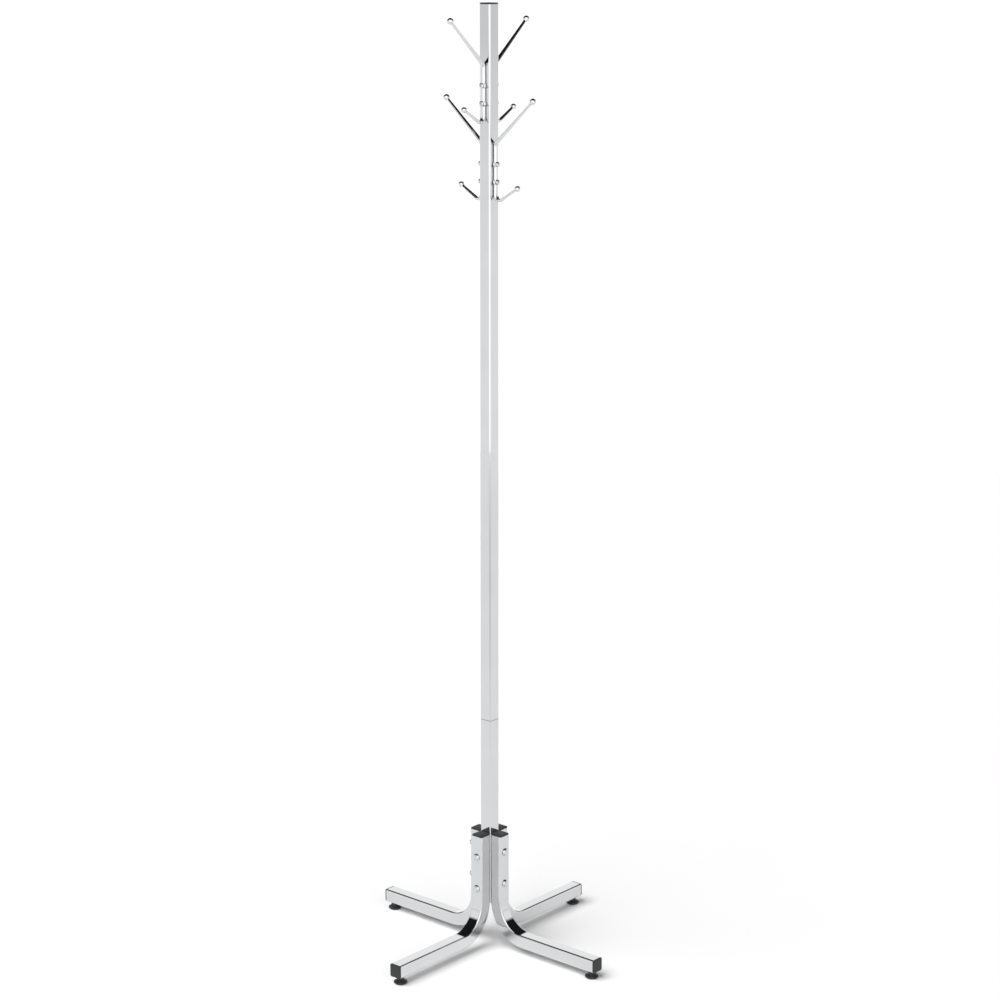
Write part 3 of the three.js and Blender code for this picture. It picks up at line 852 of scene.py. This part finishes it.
def hook_section(station, axis, screw_heights):
    """Half the hook's thickness and width at a station, and how square its section is there."""
    thickness, width, squareness = BAR_HALF_THICKNESS, BAR_HALF_WIDTH, BAR_SQUARENESS
    for arm in (UPPER_ARM, LOWER_ARM):
        from_ball = Vector((station.x - arm.reach, station.z - arm.rise))
        outward = Vector((math.cos(arm.slope), math.sin(arm.slope)))
        along = from_ball.dot(outward)
        off_line = abs(from_ball.dot(Vector((-outward.y, outward.x))))
        if station.x < axis + arm.bend * (1 - math.sin(arm.slope)) or off_line > ON_ARM:
            continue
        length = (arm.reach - axis) / outward.x
        share = min(max(1 + along / length, 0.0), 1.0)
        thickness = BAR_HALF_THICKNESS + (TIP_HALF_THICKNESS - BAR_HALF_THICKNESS) * share
        width = BAR_HALF_WIDTH + (TIP_HALF_WIDTH - BAR_HALF_WIDTH) * share
        squareness = BAR_SQUARENESS + (ARM_SQUARENESS - BAR_SQUARENESS) * min(1.0, share * 2)
        ball = math.sqrt(max(arm.ball**2 - along**2, POLE**2))
        if along > 0:
            thickness = width = ball
        else:
            thickness = blended_max(thickness, ball, BALL_BLEND)
            width = blended_max(width, ball, BALL_BLEND)
    if abs(station.x - axis) < ON_BAR:
        for height in screw_heights:
            boss = math.sqrt(max(BOSS_RADIUS**2 - (station.z - height) ** 2, 0.0))
            width = blended_max(width, boss, BOSS_BLEND)
            if boss > BAR_HALF_WIDTH:
                squareness = BOSS_SQUARENESS
    return thickness, width, squareness


def hook_mesh(axis, screw_heights):
    rings = []
    for station in hook_path(axis):
        thickness, width, squareness = hook_section(station, axis, screw_heights)
        outline = []
        for i in range(HOOK_SIDES):
            angle = 2 * math.pi * i / HOOK_SIDES
            u = math.copysign(abs(math.cos(angle)) ** (2 / squareness), math.cos(angle)) * thickness
            v = math.copysign(abs(math.sin(angle)) ** (2 / squareness), math.sin(angle)) * width
            outline.append((u, v))
        rings.append(ring_at(station, outline))
    return skin("double_hook", rings, "cast_chrome")


SCREW_HEAD = 4.8 * MM
SCREW_HEAD_HEIGHT = 2.8 * MM
SCREW_HEAD_RIM = 0.6 * MM
SCREW_HEAD_EDGE = 0.25 * MM
SCREW_SHANK = 2.2 * MM
SCREW_POINT = 2.4 * MM  # length of the tapered tip
SCREW_POINT_RADIUS = SCREW_SHANK * 0.35
SCREW_POINT_BLUNT = 0.2 * MM
SCREW_BITE = 0.25 * MM  # between a screw and its hole in the post
SCREW_ROOM = 0.5 * MM  # between a screw and its hole in a hook
HOOK_HOLE_TURN = math.pi / 50  # keeps the hole's sides off the hook's own edges, so that the cut stays clean
RECESS_REACH = 2.6 * MM
RECESS_HALF_WIDTH = 0.5 * MM
RECESS_DEPTH = 1.7 * MM
RECESS_TAPER = 0.55  # its floor's size to its mouth's
RECESS_SHARPNESS = math.radians(35)


def screw_mesh(length):
    """A pan-headed screw with a cross recess. Its head's underside is at z = 0 and it points along -Z."""
    rows = [(POLE, -length), (SCREW_POINT_RADIUS, -length + SCREW_POINT_BLUNT)]
    rows += [(SCREW_SHANK, -length + SCREW_POINT), (SCREW_SHANK, 0.0)]
    underside = [(SCREW_SHANK, 0.0, 0), (SCREW_HEAD, 0.0, SCREW_HEAD_EDGE), (SCREW_HEAD, SCREW_HEAD_RIM, 0)]
    rows += softened(underside)
    rows += dome(SCREW_HEAD, SCREW_HEAD_HEIGHT - SCREW_HEAD_RIM, SCREW_HEAD_RIM)
    head = spun("hook_screw", rows, "bright_fastener")

    cutter = bmesh.new()
    for turn in (0.0, math.pi / 2):
        arm = bmesh.ops.create_cube(cutter, size=1.0)["verts"]
        for vert in arm:
            taper = 1.0 if vert.co.z > 0 else RECESS_TAPER
            vert.co.x *= 2 * RECESS_REACH * taper
            vert.co.y *= 2 * RECESS_HALF_WIDTH * taper
            vert.co.z = SCREW_HEAD_HEIGHT + (OVERCUT / 2 if vert.co.z > 0 else -RECESS_DEPTH)
        bmesh.ops.rotate(cutter, verts=arm, matrix=Matrix.Rotation(turn, 3, "Z"))
    cross = bpy.data.meshes.new("cross_recess")
    cutter.to_mesh(cross)
    cutter.free()
    return cut_from(head, cross, RECESS_SHARPNESS)


def make_hooks():
    screw_low, screw_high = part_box("right_hook_upper_screw")
    seat = screw_high.x - SCREW_HEAD_HEIGHT
    screw = screw_mesh(seat - screw_low.x)
    outwards = Matrix.Rotation(math.pi / 2, 4, "Y")
    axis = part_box("right_hook")[0].x + BAR_STANDOFF + BAR_HALF_THICKNESS
    pitch = middle("right_hook_upper_screw").z - middle("right_hook_lower_screw").z
    back = axis - BAR_HALF_THICKNESS - OVERCUT
    bars = []
    for height in (-pitch / 2, pitch / 2):
        bars.append(bar_along_x(SCREW_SHANK + SCREW_ROOM, back, seat + OVERCUT, height, turn=HOOK_HOLE_TURN))
    mesh = drilled(hook_mesh(axis, (-pitch / 2, pitch / 2)), bars)
    for side in SIDES:
        turn = quarter_turned(side)
        heights = [middle(f"{side}_hook_{row}_screw").z for row in ROWS]
        place(f"{side}_hook", mesh, turn @ Matrix.Translation((0, 0, sum(heights) / 2)), weighted=False)
        for row, height in zip(ROWS, heights):
            place(f"{side}_hook_{row}_screw", screw, turn @ Matrix.Translation((seat, 0, height)) @ outwards)


# ---------------------------------------------------------------- studio

FLOOR_RADIUS = 4.6
FLOOR_SIDES = 96
FLOOR_TONE = (0.85, 0.85, 0.852)
FLOOR_PAINTED_SHADE = (0.64, 0.645, 0.65)  # painted shade: the darker floor that the chrome reflects in front of the picture, standing in for the light falling off there
# The floor's tones by share of the way from the rack to its near edge, darkened by a band of painted shade in
# the middle of the way.
FLOOR_TONES_WITH_PAINTED_SHADE = ((0.2, FLOOR_TONE), (0.42, FLOOR_PAINTED_SHADE), (0.6, FLOOR_PAINTED_SHADE), (0.8, FLOOR_TONE))
WORLD_GAIN = 2.0  # the sky's ramps hold half its brightness
BACKDROP = 1.05  # what the camera sees past the floor
DARK = 0.012  # the unlit studio
DARK_SKY = ((-12, 1.2), (-2, 1.3), (2, 1.2), (7, DARK))  # pairs of elevation in degrees and brightness
# A screen is a part of the sky round a direction: its tones by elevation, how far it reaches to each side and
# how soft its edge is, in degrees.
Screen = namedtuple("Screen", "sky reach edge")
SIDE_SCREEN = Screen(
    ((-30, 1.08), (-8, 1.03), (-4, 0.96), (-1.5, 0.82), (3, 0.95), (8, 1.05), (26, 1.05), (33, DARK)), 16, 4
)
FAR_SCREEN = Screen(((-12, 1.2), (-2, 1.35), (4, 1.3), (12, 1.12), (26.5, 1.12), (30, DARK)), 24, 6)
NEAR_SCREEN = Screen(((-40, 1.25), (46, 1.25), (56, DARK)), 57, 4)
BRIGHT_SCREEN = Screen(((-40, 1.62), (46, 1.62), (56, DARK)), 38, 8)
SIDE_BEARINGS = (-90, 104)  # from the camera's, counter-clockwise
SUN_ENERGY = 3.0
SUN_SPREAD = math.radians(46)
SUN_LEAN = (0.5, 0.3)  # to the left and towards the camera, for each metre up


def make_floor():
    build = bmesh.new()
    bmesh.ops.create_circle(build, cap_ends=True, radius=FLOOR_RADIUS, segments=FLOOR_SIDES)
    mesh = bpy.data.meshes.new("floor")
    build.to_mesh(mesh)
    build.free()
    material, nodes, shader = new_material("floor_paper")
    towards = nodes.add("ShaderNodeVectorMath", operation="DOT_PRODUCT")
    towards.inputs[1].default_value = (math.sin(VIEW_AZIMUTH), -math.cos(VIEW_AZIMUTH), 0)
    nodes.join(nodes.stretched((1.0, 1.0, 1.0)), towards.inputs[0])
    along = nodes.spread(towards.outputs["Value"], 0.0, FLOOR_RADIUS, 0.0, 1.0)
    # Reflections and bounced light see the floor with its band of painted shade; the camera sees only the
    # plain tone.
    seen = nodes.add("ShaderNodeMix", data_type="RGBA", in_7=(*FLOOR_TONE, 1.0))
    nodes.join(nodes.add("ShaderNodeLightPath").outputs["Is Camera Ray"], seen.inputs["Factor"])
    nodes.join(nodes.ramp(along, FLOOR_TONES_WITH_PAINTED_SHADE), seen.inputs[6])
    nodes.join(seen.outputs[2], shader.inputs["Base Color"])
    shader.inputs["Roughness"].default_value = 0.95
    shader.inputs["Specular IOR Level"].default_value = 0.0
    mesh.materials.append(material)
    floor = bpy.data.objects.new("floor", mesh)
    bpy.context.collection.objects.link(floor)


def sky_stops(stops):
    """Ramp stops over height from (elevation in degrees, brightness) pairs."""
    stops = [((math.sin(math.radians(e)) + 1) / 2, b / WORLD_GAIN) for e, b in stops]
    return [(position, (value,) * 3) for position, value in stops]


def make_world():
    """A dark studio with a pale floor line, and with white screens behind the camera, behind the rack and to
    its left and right."""
    world = bpy.data.worlds.new("studio")
    world.use_nodes = True
    bpy.context.scene.world = world
    nodes = Nodes(world.node_tree)
    direction = nodes.add("ShaderNodeTexCoord").outputs["Generated"]
    parts = nodes.add("ShaderNodeSeparateXYZ")
    nodes.join(direction, parts.inputs[0])
    height = nodes.spread(parts.outputs["Z"], -1.0, 1.0, 0.0, 1.0)
    flat = nodes.add("ShaderNodeVectorMath", operation="MULTIPLY")
    flat.inputs[1].default_value = (1, 1, 0)
    nodes.join(direction, flat.inputs[0])
    level = nodes.add("ShaderNodeVectorMath", operation="NORMALIZE")
    nodes.join(flat.outputs[0], level.inputs[0])

    def lit(colour, screen, source, centre):
        """Adds a screen round a direction."""
        dot = nodes.add("ShaderNodeVectorMath", operation="DOT_PRODUCT")
        dot.inputs[1].default_value = centre.normalized()
        nodes.join(source, dot.inputs[0])
        outer = math.cos(math.radians(screen.reach + screen.edge))
        inner = math.cos(math.radians(screen.reach - screen.edge))
        share = nodes.spread(dot.outputs["Value"], outer, inner, 0.0, 1.0)
        node = nodes.add("ShaderNodeMix", data_type="RGBA")
        nodes.join(share, node.inputs["Factor"])
        nodes.join(colour, node.inputs[6])
        nodes.join(nodes.ramp(height, sky_stops(screen.sky)), node.inputs[7])
        return node.outputs[2]

    near = Vector((math.sin(VIEW_AZIMUTH), -math.cos(VIEW_AZIMUTH), 0))
    behind_camera = near + Vector((0, 0, math.tan(VIEW_TILT)))
    colour = nodes.ramp(height, sky_stops(DARK_SKY))
    for bearing in SIDE_BEARINGS:
        centre = Matrix.Rotation(math.radians(bearing), 3, "Z") @ near
        colour = lit(colour, SIDE_SCREEN, level.outputs[0], centre)
    colour = lit(colour, FAR_SCREEN, level.outputs[0], -near)
    colour = lit(colour, NEAR_SCREEN, direction, behind_camera)
    colour = lit(colour, BRIGHT_SCREEN, direction, behind_camera)
    studio = world.node_tree.nodes["Background"]
    nodes.join(colour, studio.inputs["Color"])
    studio.inputs["Strength"].default_value = WORLD_GAIN

    backdrop = nodes.add("ShaderNodeBackground", in_0=(BACKDROP, BACKDROP, BACKDROP, 1.0))
    seen = nodes.add("ShaderNodeMixShader")
    nodes.join(nodes.add("ShaderNodeLightPath").outputs["Is Camera Ray"], seen.inputs[0])
    nodes.join(studio.outputs[0], seen.inputs[1])
    nodes.join(backdrop.outputs[0], seen.inputs[2])
    nodes.join(seen.outputs[0], world.node_tree.nodes["World Output"].inputs["Surface"])


def make_light():
    """One soft light from above, in front and to the left. The studio is what shows in the chrome."""
    data = bpy.data.lights.new("softbox", "SUN")
    data.energy = SUN_ENERGY
    data.angle = SUN_SPREAD
    light = bpy.data.objects.new("softbox", data)
    right = Vector((math.cos(VIEW_HEADING), math.sin(VIEW_HEADING), 0))
    away = Vector((-math.sin(VIEW_HEADING), math.cos(VIEW_HEADING), 0))
    source = Vector((0, 0, 1.0)) - right * SUN_LEAN[0] - away * SUN_LEAN[1]
    light.rotation_euler = (-source).to_track_quat("-Z", "Y").to_euler()
    light.visible_glossy = False
    light.visible_camera = False
    bpy.context.collection.objects.link(light)


def keep_cad_nodes():
    """The sleeve inside the post keeps its CAD shape, with a proper finish."""
    joiner = frame["nodes"]["post_joiner"]
    joiner.data.materials.clear()
    joiner.data.materials.append(MATERIALS["zinc_steel"])


make_camera()
make_posts()
make_legs()
make_plugs()
make_base_fasteners()
make_glides()
make_hooks()
keep_cad_nodes()
make_floor()
make_world()
make_light()
bpy.context.scene.view_settings.view_transform = "Standard"
